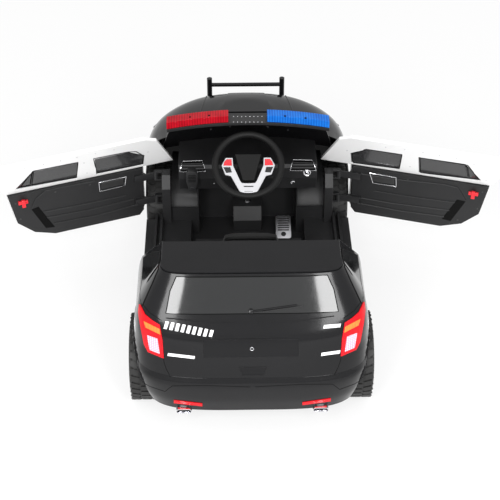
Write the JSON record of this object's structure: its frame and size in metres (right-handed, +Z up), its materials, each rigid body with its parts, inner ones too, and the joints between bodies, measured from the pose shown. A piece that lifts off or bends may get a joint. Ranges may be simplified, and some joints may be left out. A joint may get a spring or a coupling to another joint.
{
  "type": "ride-on toy patrol car",
  "caption": "Child's battery ride-on patrol car with open roof, light bar, hinged doors, steering and rolling wheels.",
  "frame": {"origin": "on the floor under the middle of the bounding box with both doors open", "axes": "+X to the car's right, across the open doors; +Y forward; +Z up"},
  "size_m": [1.6848, 1.2582, 0.6063],
  "materials": {
    "black_gloss": "gloss black moulded shell",
    "black_moulding": "fine grained black moulding",
    "dark_panel": "smooth black panel",
    "tinted_glass": "smoked window sheet",
    "white_gloss": "gloss white moulded shell",
    "chrome_trim": "bright plated trim",
    "silver_paint": "silver painted plastic",
    "steel": "zinc plated steel",
    "black_grip": "grained grip",
    "red_plastic": "bright red moulding",
    "red_lens": "clear red lens",
    "blue_lens": "clear blue lens",
    "tyre_black": "moulded black tyre",
    "battery_case": "sealed battery case"
  },
  "bodies": {
    "chassis": {"battery": "battery_case", "chassis_tub": "black_moulding", "column_shroud": "black_moulding", "dashboard": "black_moulding", "front_axle_beam": "steel", "front_shell": "black_gloss", "gearbox_left": "black_moulding", "gearbox_right": "black_moulding", "hinge_post_left": "black_moulding", "hinge_post_right": "black_moulding", "light_bar_base": "black_moulding", "light_lens_blue": "blue_lens", "light_lens_red": "red_lens", "push_bar": "black_gloss", "rear_axle": "steel", "rear_bulkhead": "black_moulding", "rear_bumper": "black_gloss", "rear_carrier": "black_moulding", "rear_deck": "black_moulding", "rear_shell": "black_gloss", "seat": "black_moulding", "side_pod_left": "black_moulding", "side_pod_right": "black_moulding", "windscreen_panel": "dark_panel"},
    "door_left": {"door_glass_left": "tinted_glass", "door_handle_left": "chrome_trim", "door_latch_left": "red_plastic", "door_mirror_left": "black_gloss", "door_panel_left": "black_moulding", "door_shell_left": "white_gloss"},
    "door_right": {"door_glass_right": "tinted_glass", "door_handle_right": "chrome_trim", "door_latch_right": "red_plastic", "door_mirror_right": "black_gloss", "door_panel_right": "black_moulding", "door_shell_right": "white_gloss"},
    "steering_column": {"horn_pad": "black_moulding", "steering_rim": "black_grip", "steering_shaft": "steel", "steering_spokes": "silver_paint"},
    "front_knuckle_left": {"knuckle_left": "steel"},
    "front_knuckle_right": {"knuckle_right": "steel"},
    "track_rod": {"tie_rod": "steel"},
    "wheel_front_left": {"hub_front_left": "silver_paint", "tyre_front_left": "tyre_black"},
    "wheel_front_right": {"hub_front_right": "silver_paint", "tyre_front_right": "tyre_black"},
    "wheel_rear_left": {"hub_rear_left": "silver_paint", "tyre_rear_left": "tyre_black"},
    "wheel_rear_right": {"hub_rear_right": "silver_paint", "tyre_rear_right": "tyre_black"}
  },
  "joints": [
    {"name": "door_left_swing", "type": "hinge", "parent": "chassis", "child": "door_left", "pos_m": [-0.305, 0.253, 0.29], "axis": [0, 0, 1], "range_deg": [-5, 70]},
    {"name": "door_right_swing", "type": "hinge", "parent": "chassis", "child": "door_right", "pos_m": [0.305, 0.253, 0.29], "axis": [0, 0, 1], "range_deg": [-73.4, 1.6]},
    {"name": "steering", "type": "hinge", "parent": "chassis", "child": "steering_column", "pos_m": [0, 0.103, 0.476], "axis": [0, -0.5736, 0.8192], "range_deg": [-30, 30]},
    {"name": "kingpin_left", "type": "hinge", "parent": "chassis", "child": "front_knuckle_left", "pos_m": [-0.232, 0.397, 0.132], "axis": [0, 0, 1], "range_deg": [-15, 15]},
    {"name": "kingpin_right", "type": "hinge", "parent": "chassis", "child": "front_knuckle_right", "pos_m": [0.232, 0.397, 0.132], "axis": [0, 0, 1], "range_deg": [-15, 15]},
    {"name": "track_rod_pin", "type": "hinge", "parent": "front_knuckle_left", "child": "track_rod", "pos_m": [-0.232, 0.329, 0.098], "axis": [0, 0, 1], "range_deg": [-15, 15]},
    {"name": "spin_front_left", "type": "hinge", "parent": "front_knuckle_left", "child": "wheel_front_left", "pos_m": [-0.297, 0.397, 0.132], "axis": [1, 0, 0], "continuous": true},
    {"name": "spin_front_right", "type": "hinge", "parent": "front_knuckle_right", "child": "wheel_front_right", "pos_m": [0.297, 0.397, 0.132], "axis": [1, 0, 0], "continuous": true},
    {"name": "spin_rear_left", "type": "hinge", "parent": "chassis", "child": "wheel_rear_left", "pos_m": [-0.316, -0.414, 0.132], "axis": [1, 0, 0], "continuous": true},
    {"name": "spin_rear_right", "type": "hinge", "parent": "chassis", "child": "wheel_rear_right", "pos_m": [0.316, -0.414, 0.132], "axis": [1, 0, 0], "continuous": true}
  ],
  "couplings": [
    {"joint": "kingpin_left", "follows": "steering", "ratio": 0.5},
    {"joint": "kingpin_right", "follows": "steering", "ratio": 0.5},
    {"joint": "track_rod_pin", "follows": "steering", "ratio": -0.5}
  ]
}
